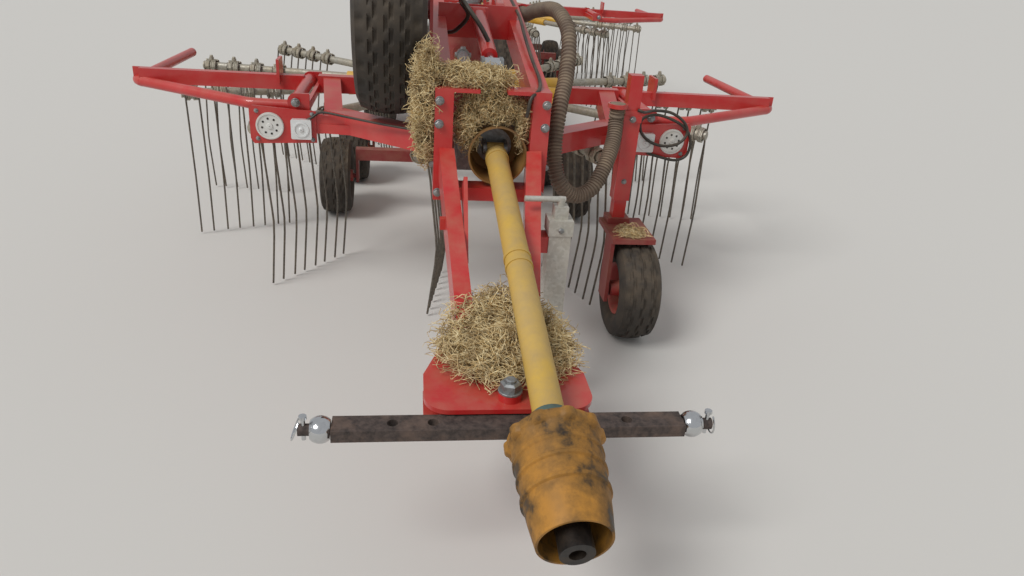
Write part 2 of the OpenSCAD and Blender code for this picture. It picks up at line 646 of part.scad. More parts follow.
// x and y of the left wheels from the rotor's axis, front and rear
wheel_at = [[-660, -150], [-600, 430]];
module at_rotor(i) { place() translate([rotor_at[i][0], rotor_at[i][1], 0]) children(); }
module carrier(i) {
    color(dark_red) at_rotor(i) {
        translate([0, 0, 300]) cylinder(r = column_r, h = 670);
        translate([0, 0, 460]) cylinder(r = 190, h = hub_z0 - 465);
        translate([0, 0, hub_z1 + 5]) cylinder(r = 118, h = 165);
        rotate([0, 0, i * boom_turn]) along_y(0, -118, 118, shaft_z, 50);
        block(-40, 40, wheel_at[0][1] - 30, wheel_at[1][1] + 30, 300, 370);
        for (w = wheel_at) {
            block(w[0] + wheel_w / 2 + 20, -w[0] - wheel_w / 2 - 20, w[1] - 30, w[1] + 30, 300, 360);
            for (s = [-1, 1]) mirrored(s) {
                block(-w[0] - wheel_w / 2 - 34, -w[0] - wheel_w / 2 - 20, w[1] - 30, w[1] + 30, wheel_d / 2 - 30, 360);
                along_x(-w[0] - wheel_w / 2 - 34, -w[0] + wheel_w / 2 + 14, w[1], wheel_d / 2, axle_r);
            }
        }
    }
}
module rotor_hub(i) {
    color(yellow) at_rotor(i) rotate([0, 0, rotor_turn[i]]) difference() {
        union() {
            translate([0, 0, hub_z0]) cylinder(r = 215, h = hub_z1 - hub_z0);
            for (k = [0 : arm_n - 1]) rotate([0, 0, -90 + 360 * k / arm_n]) along_x(200, sleeve_r, 0, arm_z, sleeve_d / 2);
        }
        translate([0, 0, hub_z0 - 1]) cylinder(r = column_r + run, h = hub_z1 - hub_z0 + 2);
        for (k = [0 : arm_n - 1]) rotate([0, 0, -90 + 360 * k / arm_n]) along_x(sleeve_r - 120, sleeve_r + 1, 0, arm_z, arm_d / 2 + fit);
    }
}
coil_r = 37;
coil_l = 62;
tine_knee = [78, 300]; // how far a tine stands off the arm at its bend, and the bend's height
tine_foot = 46;        // how far the tip stands off the arm
module double_tine(x) {
    along_x(x - coil_l / 2, x + coil_l / 2, 0, arm_z, coil_r);
    for (s = [-1, 1]) {
        a = [x + s * (coil_l / 2 - tine_d), coil_r - tine_d / 2 - 2, arm_z];
        b = [a[0], tine_knee[0], tine_knee[1]];
        c = [a[0], tine_foot, tip_z];
        rod(a, b, tine_d / 2, $fn = 6);
        rod(b + unit(b - c) * 2, c, tine_d / 2, $fn = 6);
    }
}
module tine_arm() {
    along_x(sleeve_r - 110, arm_r, 0, arm_z, arm_d / 2);
    for (j = [0 : tine_n - 1]) double_tine(arm_r - 45 - j * tine_pitch);
}
module rotor_arms(i) {
    color(zinc) at_rotor(i) rotate([0, 0, rotor_turn[i]])
        for (k = [0 : arm_n - 1]) rotate([0, 0, -90 + 360 * k / arm_n]) tine_arm();
}
module rotor_wheel(i, side, row) {
    small_wheel(rotor_at[i][0] - side * wheel_at[row][0], rotor_at[i][1] + wheel_at[row][1]);
}
module rotor1_carrier() { carrier(0); }
module rotor1_hub() { rotor_hub(0); }
module rotor1_arms() { rotor_arms(0); }
module rotor1_wheel_fl() { rotor_wheel(0, -1, 0); }
module rotor1_wheel_fr() { rotor_wheel(0, 1, 0); }
module rotor1_wheel_rl() { rotor_wheel(0, -1, 1); }
module rotor1_wheel_rr() { rotor_wheel(0, 1, 1); }
module rotor2_carrier() { carrier(1); }
module rotor2_hub() { rotor_hub(1); }
module rotor2_arms() { rotor_arms(1); }
module rotor2_wheel_fl() { rotor_wheel(1, -1, 0); }
module rotor2_wheel_fr() { rotor_wheel(1, 1, 0); }
module rotor2_wheel_rl() { rotor_wheel(1, -1, 1); }
module rotor2_wheel_rr() { rotor_wheel(1, 1, 1); }

// A folding guard: pivot barrel, bar and a bent tube round the rotor's corner
barrel_y0 = pin_y0 + 14 + 2 - rotor_y;
barrel_y1 = pin_y1 - 14 - 2 - rotor_y;
guard_top = fold_z;
guard_tube_z = 815;
// the guard tube's bends: x, y from the rotor's axis
guard_bends = [[fold_x + 20, -1190], [fold_x + 180, -1180], [guard_x, -850], [guard_x - 40, -120]];
module guard(i, side) {
    color(red) at_rotor(i) mirrored(side) difference() {
        union() {
            along_y(fold_x, barrel_y0, barrel_y1, fold_z, 26);
            block(fold_x + 15, guard_x - 25, -guard_bar_y - 20, -guard_bar_y + 20, fold_z - 30, fold_z + 30);
            bent_tube(guard_bends, guard_tube_z, guard_d / 2, 70);
            block(guard_x - 60, guard_x + 6, -guard_bar_y + 12, -guard_bar_y + 20, guard_tube_z - 12, fold_z + 30);
            block(fold_x + 110, fold_x + 122, -guard_bar_y - 40, -guard_bar_y + 60, fold_z, fold_z + 95);
        }
        along_y(fold_x, barrel_y0 - 1, barrel_y1 + 1, fold_z, fold_r + run);
    }
}
module rotor1_guard_left() { guard(0, -1); }
module rotor1_guard_right() { guard(0, 1); }
module rotor2_guard_left() { guard(1, -1); }
module rotor2_guard_right() { guard(1, 1); }

// The rear boom from the hinge to the rear rotor, and what it carries there
boom_turn = -atan2(rotor_shift, rotor_y + rotor_pitch - hinge_y);
boom_l = norm([rotor_shift, rotor_y + rotor_pitch - hinge_y]);
module at_hinge() { place() translate([0, hinge_y, 0]) rotate([0, 0, boom_turn]) children(); }
boom_h = 110;
module boom() {
    color(red) at_hinge() difference() {
        union() {
            translate([0, 0, rail_back_z - boom_h / 2]) cylinder(r = 62, h = boom_h);
            block(-50, 50, 0, boom_l + 90, rail_back_z - boom_h / 2, rail_back_z + boom_h / 2);
            for (s = [-1, 1]) mirrored(s) block(125, 140, boom_l - 70, boom_l + 70, 850, rail_back_z + 20);
            block(-140, 140, boom_l - 70, boom_l + 70, rail_back_z - boom_h / 2, rail_back_z - boom_h / 2 + 15);
            block(-140, 140, boom_l - 70, boom_l + 70, 970 + fit, 985);
        }
        translate([0, 0, rail_back_z - boom_h]) cylinder(r = hinge_r + run, h = 2 * boom_h);
    }
}
module boom_shaft() {
    color(zinc) at_hinge() {
        rod([0, 60, shaft_z], [0, boom_l - 118 - fit, shaft_z], shaft_r);
        for (y = [110, boom_l - 180]) universal(0, y, shaft_z);
    }
}
module rotor2_crossbeam() {
    t = -rotor_shift * guard_bar_y / (rotor_y + rotor_pitch - hinge_y);
    color(red) at_rotor(1) {
        difference() {
            block(-655, 655, -guard_bar_y - 35, -guard_bar_y + 35, fold_z - 35, fold_z + 35);
            block(t - 50, t + 50, -guard_bar_y - 36, -guard_bar_y + 36, shaft_z - shaft_r - 12, fold_z + 40);
        }
        for (x = [t - 68, t + 44]) block(x, x + 24, -guard_bar_y - 30, -guard_bar_y + 30, fold_z - 10, rail_back_z - boom_h / 2 - 24);
        block(t - 68, t + 68, -guard_bar_y - 30, -guard_bar_y + 30, rail_back_z - boom_h / 2 - 24, rail_back_z - boom_h / 2 - fit);
        for (s = [-1, 1]) mirrored(s) {
            for (y = [barrel_y0 - 16, barrel_y1 + 2]) {
                block(fold_x - 50, fold_x, y, y + 14, fold_z - 32, fold_z + 32);
                along_y(fold_x, y, y + 14, fold_z, 32);
            }
            block(fold_x - 50, fold_x - 36, barrel_y0 - 16, barrel_y1 + 16, fold_z - 32, fold_z + 2);
            along_y(fold_x, barrel_y0 - 28, barrel_y1 + 28, fold_z, fold_r);
        }
    }
}

crossbar();
link_balls();
headstock();
drawbar_left();
drawbar_right();
arch();
pto_guard();
pto_front_cone();
pto_yoke();
pto_rear_cone();
front_gearbox();
frame_rails();
rear_frame();
drive_shafts();
lift_cylinder();
lift_rod();
lift_lever();
outrigger_left();
outrigger_right();
lamp_plates();
lamps();
discs();
feeler_post();
feeler_fork();
feeler_wheel();
jack_body();
jack_crank();
jack_leg();
corrugated_hose();
raised_tyre();
raised_rim();
wheel_bracket();
road_axle();
road_tyre_left();
road_tyre_right();
road_rim_left();
road_rim_right();
rotor1_carrier();
rotor1_hub();
rotor1_arms();
rotor1_wheel_fl();
rotor1_wheel_fr();
rotor1_wheel_rl();
rotor1_wheel_rr();
rotor1_guard_left();
rotor1_guard_right();
boom();
boom_shaft();
rotor2_crossbeam();
rotor2_carrier();
rotor2_hub();
rotor2_arms();
rotor2_wheel_fl();
rotor2_wheel_fr();
rotor2_wheel_rl();
rotor2_wheel_rr();
rotor2_guard_left();
rotor2_guard_right();
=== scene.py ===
# %% [markdown]
# # A twin rotor hay rake
#
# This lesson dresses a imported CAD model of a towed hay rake. The rake has a swinging hitch crossbar,
# a yellow drive shaft, two rails over a tined rotor, a road axle and a boom with a second rotor.
# The CAD nodes give the machine's size and its main forms. Blender adds the finishes and the small
# forms: tyre tread, coiled tines, bolts, cables and the hay that the machine has collected.

# %% Load the frame
import json
import math
import random

import bmesh
import bpy
from mathutils import Matrix, Vector


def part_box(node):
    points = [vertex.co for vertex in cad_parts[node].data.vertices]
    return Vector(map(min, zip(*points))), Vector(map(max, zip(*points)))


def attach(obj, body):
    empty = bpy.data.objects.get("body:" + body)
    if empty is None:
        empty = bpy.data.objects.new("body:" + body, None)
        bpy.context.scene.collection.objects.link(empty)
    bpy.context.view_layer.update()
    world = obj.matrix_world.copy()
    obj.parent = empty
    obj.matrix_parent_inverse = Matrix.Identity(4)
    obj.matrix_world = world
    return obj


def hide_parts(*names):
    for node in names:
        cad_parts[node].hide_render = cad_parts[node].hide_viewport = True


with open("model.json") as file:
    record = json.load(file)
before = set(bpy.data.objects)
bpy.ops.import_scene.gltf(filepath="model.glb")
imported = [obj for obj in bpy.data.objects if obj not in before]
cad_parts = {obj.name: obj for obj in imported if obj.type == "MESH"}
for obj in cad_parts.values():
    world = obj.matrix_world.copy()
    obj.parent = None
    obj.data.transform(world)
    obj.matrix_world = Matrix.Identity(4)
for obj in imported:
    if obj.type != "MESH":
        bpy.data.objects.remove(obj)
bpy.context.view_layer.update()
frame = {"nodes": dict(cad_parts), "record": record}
nodes = frame["nodes"]
slot_of = {part["node"]: part["material_slot"] for part in frame["record"]["subparts"]}

# %% [markdown]
# The machine was drawn in millimetres from a point on the ground under its hitch crossbar. That point
# lies on the machine's own middle line, 25 mm to the right of the crossbar's middle. Working from the
# same place keeps the numbers readable, so one function turns such a point into the frame's metres. It
# finds the crossbar in the frame rather than repeating where the whole machine was moved to.

# %% A point in the drawing's millimetres
bar_low, bar_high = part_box("crossbar")
bar_half_depth = 0.030
bar_left_of_middle = 0.025
origin = Vector(((bar_low.x + bar_high.x) / 2 + bar_left_of_middle, bar_low.y + bar_half_depth, 0))


def at(x, y, z):
    return origin + Vector((x, y, z)) / 1000


print("origin", [round(c, 4) for c in origin])

# %% [markdown]
# The photograph was taken by somebody who stood ahead of the hitch and looked down along the machine.
# The camera's place, its tilt and its slight roll were found by matching known points of the machine
# with their places in the picture. The lens follows from the same match.

# %% The camera
pitch, roll, yaw = (math.radians(a) for a in (25.983, 4.51, 8.888))
forward = Vector((math.sin(yaw) * math.cos(pitch), math.cos(yaw) * math.cos(pitch), -math.sin(pitch)))
level = Vector((math.cos(yaw), -math.sin(yaw), 0))
down = forward.cross(level)
picture_right = math.cos(roll) * level - math.sin(roll) * down
picture_down = math.sin(roll) * level + math.cos(roll) * down

camera = bpy.data.objects.new("camera", bpy.data.cameras.new("camera"))
bpy.context.scene.collection.objects.link(camera)
camera.data.sensor_width = 36
camera.data.lens = 26.016
camera.data.clip_end = 300
attitude = Matrix((picture_right, -picture_down, -forward)).transposed().to_4x4()
camera.matrix_world = Matrix.Translation(at(-269, -1393, 1498)) @ attitude
bpy.context.scene.camera = camera
print("camera at", [round(c, 3) for c in camera.matrix_world.translation])

# %% [markdown]
# Shader graphs are easier to read when a small class adds the nodes and joins them. It has one method
# for each kind of step that the finishes need: a noise, a clamped range, a mix of two colours.

# %% A helper that builds node graphs
def colour(code):
    """The linear colour of a hex code, which is how Blender's sockets want it."""
    parts = [int(code[i : i + 2], 16) / 255 for i in (0, 2, 4)]
    return [c / 12.92 if c <= 0.04045 else ((c + 0.055) / 1.055) ** 2.4 for c in parts] + [1.0]


class Graph:
    def __init__(self, tree):
        self.tree = tree

    def add(self, kind, inputs=None, **settings):
        node = self.tree.nodes.new(kind)
        for key, value in settings.items():
            setattr(node, key, value)
        for key, value in (inputs or {}).items():
            if isinstance(value, bpy.types.NodeSocket):
                self.send(value, node.inputs[key])
            else:
                node.inputs[key].default_value = value
        return node

    def send(self, value, socket):
        self.tree.links.new(value, socket)

    def mix(self, a, b, share):
        return self.add("ShaderNodeMix", {0: share, 6: a, 7: b}, data_type="RGBA").outputs[2]

    def maths(self, operation, a, b):
        return self.add("ShaderNodeMath", {0: a, 1: b}, operation=operation).outputs[0]

    def ramp(self, value, low, high, start=0.0, end=1.0):
        inputs = {"Value": value, "From Min": low, "From Max": high, "To Min": start, "To Max": end}
        return self.add("ShaderNodeMapRange", inputs).outputs["Result"]

    def place(self):
        return self.add("ShaderNodeTexCoord").outputs["Object"]

    def noise(self, scale, detail=4.0, rough=0.55):
        inputs = {"Vector": self.place(), "Scale": scale, "Detail": detail, "Roughness": rough}
        return self.add("ShaderNodeTexNoise", inputs).outputs["Fac"]


def new_group(name, inputs):
    """A node group that gives a colour, a roughness and a height; gives its graph, inputs and output node."""
    tree = bpy.data.node_groups.new(name, "ShaderNodeTree")
    for label, value in inputs.items():
        kind = "NodeSocketColor" if isinstance(value, list) else "NodeSocketFloat"
        tree.interface.new_socket(label, in_out="INPUT", socket_type=kind).default_value = value
    tree.interface.new_socket("Colour", in_out="OUTPUT", socket_type="NodeSocketColor")
    for label in ("Roughness", "Height"):
        tree.interface.new_socket(label, in_out="OUTPUT", socket_type="NodeSocketFloat")
    graph = Graph(tree)
    return graph, graph.add("NodeGroupInput").outputs, graph.add("NodeGroupOutput").inputs


print("graph helpers ready")

# %% [markdown]
# Farm paint is never one colour. It fades in patches, dust settles on what faces up, and rust shows
# where stones and hay have rubbed. All three can come from one node group with named inputs, so that
# the red paint, the yellow paint and the plastics share it, each with its own amounts.

# %% Weathered paint
graph, given, result = new_group(
    "Weathered paint",
    {"Paint": colour("bb1219"), "Faded": colour("c23a3a"), "Dust": colour("a58f72"), "Rust": colour("5a3520"),
     "Dust Amount": 0.4, "Rust Amount": 0.3, "Gloss": 0.4},
)
fade = graph.ramp(graph.noise(5.0, 5.0), 0.42, 0.72)
up = graph.add("ShaderNodeSeparateXYZ", {0: graph.add("ShaderNodeTexCoord").outputs["Normal"]}).outputs["Z"]
settled = graph.ramp(up, -0.3, 1.0, 0.25, 1.0)
patches = graph.ramp(graph.noise(14.0, 8.0, 0.65), 0.3, 0.72)
dust = graph.maths("MULTIPLY", graph.maths("MULTIPLY", settled, patches), given["Dust Amount"])
worn = graph.noise(38.0, 6.0, 0.7)
edge = graph.maths("SUBTRACT", 0.78, graph.maths("MULTIPLY", given["Rust Amount"], 0.25))
rust = graph.ramp(graph.maths("SUBTRACT", worn, edge), 0.0, 0.04)
painted = graph.mix(given["Paint"], given["Faded"], fade)
dusted = graph.mix(painted, given["Dust"], dust)
graph.send(graph.mix(dusted, given["Rust"], rust), result["Colour"])
rough = graph.maths("ADD", given["Gloss"], graph.maths("MULTIPLY", dust, 0.45))
rusted = graph.maths("ADD", rough, graph.maths("MULTIPLY", rust, 0.35))
graph.send(graph.maths("MINIMUM", rusted, 0.95), result["Roughness"])
grain = graph.maths("MULTIPLY", graph.noise(220.0, 3.0), 0.25)
graph.send(graph.maths("SUBTRACT", grain, rust), result["Height"])
print("weathered paint made")

# %% [markdown]
# Hot-dip galvanised steel shows faint crystals a few millimetres to a centimetre across, and dulls to
# a mottled grey. A Voronoi texture gives each crystal its own tone.

# %% Galvanised steel
graph, given, result = new_group(
    "Galvanised steel",
    {"Zinc": colour("9b9fa1"), "Dull": colour("77797a"), "Dust": colour("9c8a70"), "Dust Amount": 0.3,
     "Gloss": 0.42},
)
crystal = graph.add("ShaderNodeTexVoronoi", {"Vector": graph.place(), "Scale": 110.0}).outputs["Color"]
tone = graph.add("ShaderNodeSeparateColor", {0: crystal}).outputs[0]
dulled = graph.mix(given["Zinc"], given["Dull"], graph.maths("MULTIPLY", tone, 0.7))
stain = graph.ramp(graph.noise(9.0, 7.0, 0.65), 0.35, 0.75)
film = graph.maths("MULTIPLY", stain, given["Dust Amount"])
graph.send(graph.mix(dulled, given["Dust"], film), result["Colour"])
matt = graph.maths("ADD", graph.maths("MULTIPLY", tone, 0.12), graph.maths("MULTIPLY", film, 0.3))
graph.send(graph.maths("ADD", given["Gloss"], matt), result["Roughness"])
graph.send(graph.maths("MULTIPLY", tone, 0.2), result["Height"])
print("galvanised steel made")

# %% [markdown]
# Bare steel that has stood in the rain rusts in a thin coat with darker pits and lighter, powdery
# patches. Cast iron under old grease looks the same with darker colours, so both take this group.

# %% Rust
graph, given, result = new_group(
    "Rust coat",
    {"Coat": colour("6b4a3a"), "Pit": colour("2e211c"), "Powder": colour("8a5a3c"), "Gloss": 0.7},
)
pits = graph.ramp(graph.noise(60.0, 8.0, 0.7), 0.35, 0.62)
powder = graph.ramp(graph.noise(16.0, 6.0, 0.6), 0.45, 0.75)
pitted = graph.mix(given["Pit"], given["Coat"], pits)
graph.send(graph.mix(pitted, given["Powder"], powder), result["Colour"])
graph.send(graph.maths("ADD", given["Gloss"], graph.maths("MULTIPLY", powder, 0.2)), result["Roughness"])
graph.send(pits, result["Height"])
print("rust made")

# %% [markdown]
# Dry hay is pale on the stalks that the sun has bleached and brown on those below. A fine noise gives each
# stalk its own tone, and a broader one darkens whole tufts.

# %% Dry hay
graph, given, result = new_group(
    "Dry hay",
    {"Bleached": colour("e3d3a8"), "Straw": colour("bb9c64"), "Brown": colour("765a36"), "Gloss": 0.75},
)
stalk_tone = graph.ramp(graph.noise(95.0, 3.0), 0.36, 0.64)
tuft_tone = graph.ramp(graph.noise(22.0, 4.0), 0.46, 0.70, 0.0, 0.8)
straw = graph.mix(given["Straw"], given["Bleached"], stalk_tone)
graph.send(graph.mix(straw, given["Brown"], tuft_tone), result["Colour"])
graph.send(graph.maths("ADD", given["Gloss"], graph.maths("MULTIPLY", tuft_tone, 0.1)), result["Roughness"])
graph.send(stalk_tone, result["Height"])
print("dry hay made")

# %% [markdown]
# Grease thrown out of the joint has dried on the front guard with dust in it. It lies in broad soft
# patches that run into each other, dark in the middle and brown at the edge, over plastic that the sun
# has turned from yellow to ochre. A broad noise with a fine one added to it gives such patches.

# %% Greasy plastic
graph, given, result = new_group(
    "Greasy plastic",
    {"Plastic": colour("b87f2b"), "Sunned": colour("8f6528"), "Film": colour("57401f"),
     "Grease": colour("1f1914"), "Gloss": 0.5},
)
broad = graph.noise(7.0, 6.0, 0.62)
fine_spots = graph.noise(34.0, 7.0, 0.68)
soil = graph.maths("ADD", graph.maths("MULTIPLY", broad, 0.72), graph.maths("MULTIPLY", fine_spots, 0.28))
film = graph.ramp(soil, 0.40, 0.56, 0.0, 0.85)
grease = graph.ramp(soil, 0.515, 0.60, 0.0, 0.95)
sunned = graph.ramp(graph.noise(12.0, 5.0), 0.35, 0.7)
plastic = graph.mix(given["Plastic"], given["Sunned"], sunned)
filmed = graph.mix(plastic, given["Film"], film)
graph.send(graph.mix(filmed, given["Grease"], grease), result["Colour"])
rough = graph.maths("ADD", given["Gloss"], graph.maths("MULTIPLY", film, 0.3))
graph.send(graph.maths("SUBTRACT", rough, graph.maths("MULTIPLY", grease, 0.35)), result["Roughness"])
graph.send(graph.maths("ADD", grease, graph.maths("MULTIPLY", fine_spots, 0.4)), result["Height"])
print("greasy plastic made")

# %% [markdown]
# Every finish is a material with one Principled shader. The group's colour, roughness and height feed
# it, and the numbers that are the same all over, such as how metallic it is, are set on its sockets.

# %% A function that makes a finish
finishes = {}


def finish(name, group, values, metallic=0.0, coat=0.0, bump=0.15, depth=0.0006):
    material = bpy.data.materials.new(name)
    material.use_nodes = True
    graph = Graph(material.node_tree)
    shader = material.node_tree.nodes["Principled BSDF"].inputs
    surface = graph.add("ShaderNodeGroup", node_tree=bpy.data.node_groups[group])
    for label, value in values.items():
        surface.inputs[label].default_value = colour(value) if isinstance(value, str) else value
    height = surface.outputs["Height"]
    relief = graph.add("ShaderNodeBump", {"Height": height, "Strength": bump, "Distance": depth})
    graph.send(surface.outputs["Colour"], shader["Base Color"])
    graph.send(surface.outputs["Roughness"], shader["Roughness"])
    graph.send(relief.outputs["Normal"], shader["Normal"])
    shader["Metallic"].default_value = metallic
    shader["Coat Weight"].default_value = coat
    finishes[name] = material


print("finish maker ready")

# %% [markdown]
# The record names a finish for each node. Here each name gets its colours, taken from the
# photograph: a saturated red with pale dust on top, ochre plastic, mottled zinc and brown-black rubber.
# The jack's zinc is paler than the rest, so its nodes get a finish of their own.

# %% The finishes
finish("red_paint", "Weathered paint", {"Dust Amount": 0.35, "Rust Amount": 0.25, "Gloss": 0.32}, coat=0.3)
finish("dark_red_paint", "Weathered paint",
       {"Paint": "80161c", "Faded": "8c3a38", "Dust Amount": 0.55, "Rust Amount": 0.5, "Gloss": 0.45})
finish("yellow_paint", "Weathered paint",
       {"Paint": "d9a62a", "Faded": "d8b455", "Dust Amount": 0.4, "Rust Amount": 0.3, "Gloss": 0.4})
finish("wheel_red", "Weathered paint",
       {"Paint": "a01a1e", "Faded": "a5413c", "Dust Amount": 0.6, "Rust Amount": 0.35, "Gloss": 0.45})
finish("guard_plastic", "Weathered paint",
       {"Paint": "c9a345", "Faded": "c4a35a", "Dust": "a08a68", "Dust Amount": 0.7, "Rust Amount": 0.0,
        "Gloss": 0.45})
finish("cone_plastic", "Weathered paint",
       {"Paint": "8a6331", "Faded": "5f4527", "Dust": "8d7758", "Dust Amount": 0.5, "Rust Amount": 0.35,
        "Rust": "33241a", "Gloss": 0.4})
finish("collar_green", "Weathered paint",
       {"Paint": "4a6a66", "Faded": "5d7a72", "Dust": "4a4034", "Dust Amount": 0.8, "Rust Amount": 0.0,
        "Gloss": 0.45})
finish("white_plastic", "Weathered paint",
       {"Paint": "dcdcd8", "Faded": "cfccc2", "Dust Amount": 0.4, "Rust Amount": 0.0, "Gloss": 0.4},
       bump=0.05)
finish("lens", "Weathered paint",
       {"Paint": "dfe1e0", "Faded": "cfd0cc", "Dust Amount": 0.35, "Rust Amount": 0.0, "Gloss": 0.12},
       coat=0.6, bump=0.02)
finish("hose", "Weathered paint",
       {"Paint": "5a4a3f", "Faded": "6d5c4e", "Dust": "a8967c", "Dust Amount": 0.75, "Rust Amount": 0.0,
        "Gloss": 0.6})
finish("tyre", "Weathered paint",
       {"Paint": "27231f", "Faded": "35302b", "Dust": "8d7a62", "Dust Amount": 0.45, "Rust Amount": 0.0,
        "Gloss": 0.72}, bump=0.4, depth=0.0012)
finish("black_rubber", "Weathered paint",
       {"Paint": "1c1b1a", "Faded": "2a2826", "Dust Amount": 0.3, "Rust Amount": 0.0, "Gloss": 0.45},
       bump=0.05)
finish("zinc", "Galvanised steel", {}, metallic=0.75)
finish("tines", "Galvanised steel", {"Zinc": "6f6a63", "Dull": "4d4842", "Dust Amount": 0.35}, metallic=0.75)
finish("chrome", "Galvanised steel",
       {"Zinc": "d0d2d4", "Dull": "c4c6c8", "Dust Amount": 0.08, "Gloss": 0.08}, metallic=1.0, bump=0.02)
finish("dusty_zinc", "Galvanised steel",
       {"Zinc": "aba79c", "Dull": "8b8679", "Dust": "b09f7e", "Dust Amount": 0.6}, metallic=0.45)
finish("pale_zinc", "Galvanised steel",
       {"Zinc": "c2c0b8", "Dull": "a8a59b", "Dust": "b7ab95", "Dust Amount": 0.4}, metallic=0.35)
finish("rusty_steel", "Rust coat", {"Coat": "544741", "Pit": "2b2421", "Powder": "6e5a4e"})
finish("greasy_iron", "Rust coat",
       {"Coat": "2c2622", "Pit": "120f0e", "Powder": "4a3d30", "Gloss": 0.4}, metallic=0.3)
finish("greasy_plastic", "Greasy plastic", {})
finish("hay", "Dry hay", {}, bump=0.1)
for name, node in nodes.items():
    node.data.materials.clear()
    look = "pale_zinc" if name.startswith("jack") else slot_of[name]
    node.data.materials.append(finishes[look])
print("finishes", len(finishes))

# %% [markdown]
# Small forms are easier to build when the same few steps are named once. A row of rings can be a straight
# rod, a bent wire or a coil, because each is a section carried along a path. A turned form is a profile
# swept about an axle. On the real machine these are drawn wire, bent tube and moulded rubber. Wheels and
# rotors turn about joints that the record places, so their middles are read from it.

# %% Helpers for mesh pieces
rightward, rearward, upward = (Vector(axis) for axis in ((1, 0, 0), (0, 1, 0), (0, 0, 1)))
behaviour = frame["record"]["behaviour"]


def body_of(node):
    """The CAD body that a node belongs to."""
    return next(name for name, members in behaviour["bodies"].items() if node in members)


def joint_place(name):
    """Where the record has a joint's axis, in the frame's metres."""
    return Vector(next(joint["pos_m"] for joint in behaviour["joints"] if joint["name"] == name))


def new_piece(name, shape, look, body, smooth=True):
    """Turns a bmesh into an object with a finish that rides on a body."""
    mesh = bpy.data.meshes.new(name)
    bmesh.ops.recalc_face_normals(shape, faces=shape.faces)
    for face in shape.faces:
        face.smooth = smooth
    shape.to_mesh(mesh)
    shape.free()
    if smooth:
        mesh.set_sharp_from_angle(angle=math.radians(38))
    mesh.materials.append(finishes[look])
    piece = bpy.data.objects.new(name, mesh)
    bpy.context.scene.collection.objects.link(piece)
    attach(piece, body)
    return piece


def around(side, other, count, start=0.0):
    """Unit vectors spaced evenly round a circle, from side towards other."""
    turns = [math.tau * k / count + start for k in range(count)]
    return [math.cos(a) * side + math.sin(a) * other for a in turns]


def ring(shape, centre, radius, axis, side, count):
    return [shape.verts.new(centre + radius * out) for out in around(side, axis.cross(side), count)]


def join_rings(shape, a, b):
    for corners in zip(a, a[1:] + a[:1], b[1:] + b[:1], b):
        shape.faces.new(corners)


def closed_tube(shape, rings):
    """Joins each ring to the next one and closes both ends."""
    for a, b in zip(rings, rings[1:]):
        join_rings(shape, a, b)
    shape.faces.new(rings[0][::-1])
    shape.faces.new(rings[-1])


def sweep(shape, path, radii, sides=8):
    """Adds a closed tube that follows the path; radii is one radius or one for each point."""
    radii = radii if isinstance(radii, list) else [radii] * len(path)
    side = (path[1] - path[0]).normalized().orthogonal().normalized()
    rings = []
    for i, point in enumerate(path):
        along = (path[min(i + 1, len(path) - 1)] - path[max(i - 1, 0)]).normalized()
        side = (side - along * side.dot(along)).normalized()
        rings.append(ring(shape, point, radii[i], along, side, sides))
    closed_tube(shape, rings)


def turned(shape, centre, axis, side, steps, profile):
    """Adds a form turned about an axis. The profile is a closed line of (distance along the axis, radius)
    points, or a function that gives such a line for each step of the turn."""
    rings = []
    for i, out in enumerate(around(side, axis.cross(side), steps)):
        points = profile(i) if callable(profile) else profile
        rings.append([shape.verts.new(centre + axis * w + out * r) for w, r in points])
    for a, b in zip(rings, rings[1:] + rings[:1]):
        join_rings(shape, a, b)


def smooth_path(points, steps):
    """A rounded path through the points, as a spline does it."""
    ends = [2 * points[0] - points[1]] + points + [2 * points[-1] - points[-2]]
    path = []
    for a, b, c, d in zip(ends, ends[1:], ends[2:], ends[3:]):
        square = 2 * a - 5 * b + 4 * c - d
        cube = 3 * b - a - 3 * c + d
        for t in [j / steps for j in range(steps)]:
            path.append(0.5 * (2 * b + (c - a) * t + square * t * t + cube * t**3))
    return path + [points[-1]]


def nut(shape, place, axis, across, thick, sides=6, dome=0.25):
    """Adds a chamfered hexagon, or a round head, that stands on place and points along axis."""
    axis = Vector(axis).normalized()
    side = axis.orthogonal().normalized()
    radius = across / 2 / math.cos(math.pi / sides)
    steps = [(0, radius), (thick * 0.8, radius), (thick, radius * (1 - dome))]
    closed_tube(shape, [ring(shape, place + axis * h, r, axis, side, sides) for h, r in steps])


def bolt(shape, place, axis, size):
    """Adds a washer, a nut and the stub of a bolt, in the usual proportions to the thread's size."""
    axis = Vector(axis).normalized()
    washer = size * 0.18
    nut(shape, place, axis, size * 2.1, washer, 16, 0.05)
    nut(shape, place + axis * washer, axis, size * 1.6, size * 0.8)
    nut(shape, place + axis * size * 0.9, axis, size * 0.95, size * 0.35, 10)


print("helpers ready")

# %% [markdown]
# The rotor's arms are galvanised tubes with double tines. A double tine is one spring-steel wire: a coil,
# a loop over the clamp, a second coil, and a long prong from each end down to the ground. Each coil is
# modelled as the wire itself, wound three times round the arm, so light shows between its turns. It could
# be a plain drum with lines on it, but the open coils are what the eye looks for on such a rake. The
# lengths in this step are millimetres, and only the radii of what is swept are metres.

